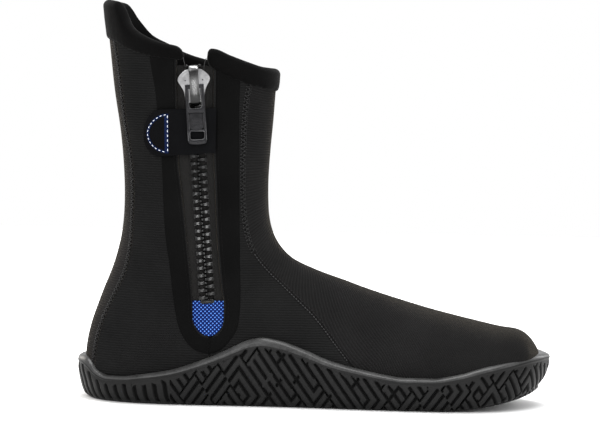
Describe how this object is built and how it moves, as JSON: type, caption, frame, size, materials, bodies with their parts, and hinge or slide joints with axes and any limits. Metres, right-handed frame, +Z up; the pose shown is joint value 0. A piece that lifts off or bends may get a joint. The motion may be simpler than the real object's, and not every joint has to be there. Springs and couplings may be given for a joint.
{
  "type": "neoprene boot",
  "caption": "Ankle-high zip-up neoprene water sports boot with padded collar, side zip under a keeper strap, and moulded rubber sole.",
  "frame": {"origin": "centre of the bounding box's footprint, on the ground", "axes": "+X to the toe, +Y to the outer (lateral) side, +Z up; the zip is on the inner side, -Y"},
  "size_m": [0.2968, 0.1054, 0.247],
  "materials": {
    "rubber": "satin",
    "foam": "matt",
    "board": "matt",
    "jersey": "ribbed knit over foam rubber",
    "skin": "smooth matt",
    "binding": "matt",
    "tape": "woven",
    "tooth": "gloss",
    "blue_knit": "knit",
    "slider_metal": "satin",
    "pull_metal": "satin gunmetal",
    "strap": "matt",
    "hook_loop": "napped"
  },
  "bodies": {
    "boot": {"outsole": "rubber", "midsole_pad": "foam", "insole_board": "board", "footbed": "foam", "heel_strip": "jersey", "vamp": "jersey", "quarter_lateral": "jersey", "quarter_medial_rear": "jersey", "quarter_medial_front": "jersey", "surround_rear": "skin", "surround_front": "skin", "collar_binding": "binding", "zip_bottom_stop": "tooth", "zip_end_patch": "blue_knit", "zip_guard": "tape", "keeper_loop_patch": "hook_loop"},
    "rear_flap": {"surround_rear_flap": "skin", "binding_rear_end": "binding", "zip_tape_rear": "tape", "zip_teeth_rear": "tooth", "zip_top_stop_rear": "tooth"},
    "front_flap": {"surround_front_flap": "skin", "binding_front_end": "binding", "zip_tape_front": "tape", "zip_teeth_front": "tooth", "zip_top_stop_front": "tooth"},
    "slider": {"slider_body": "slider_metal", "slider_bridge": "slider_metal"},
    "pull": {"pull_tab": "pull_metal"},
    "keeper": {"keeper_strap": "strap", "keeper_hook_patch": "hook_loop"}
  },
  "joints": [
    {"name": "zip_slide", "type": "slide", "parent": "boot", "child": "slider", "axis": [0.0785, -0.0031, -0.9969], "range_m": [0, 0.12]},
    {"name": "rear_flap_fold", "type": "hinge", "parent": "boot", "child": "rear_flap", "pos_m": [-0.0658, -0.04045, 0.0576], "axis": [0.2125, -0.0208, -0.9769], "range_deg": [0, 45], "deforming": ["zip_tape_rear", "zip_teeth_rear"]},
    {"name": "front_flap_fold", "type": "hinge", "parent": "boot", "child": "front_flap", "pos_m": [-0.0648, -0.04035, 0.0576], "axis": [0.1018, 0.0435, 0.9939], "range_deg": [0, 45], "deforming": ["zip_tape_front", "zip_teeth_front"]},
    {"name": "pull_swing", "type": "hinge", "parent": "slider", "child": "pull", "pos_m": [-0.0763, -0.04359, 0.19607], "axis": [-0.9947, -0.0675, -0.0781], "range_deg": [0, 165]},
    {"name": "keeper_peel", "type": "hinge", "parent": "front_flap", "child": "keeper", "pos_m": [-0.0626, -0.04032, 0.1558], "axis": [0, 0.0145, 0.9999], "range_deg": [0, 150], "deforming": ["keeper_strap"]}
  ],
  "couplings": [
    {"joint": "rear_flap_fold", "follows": "zip_slide", "rad_per_m": 6.5},
    {"joint": "front_flap_fold", "follows": "zip_slide", "rad_per_m": 6.5}
  ]
}
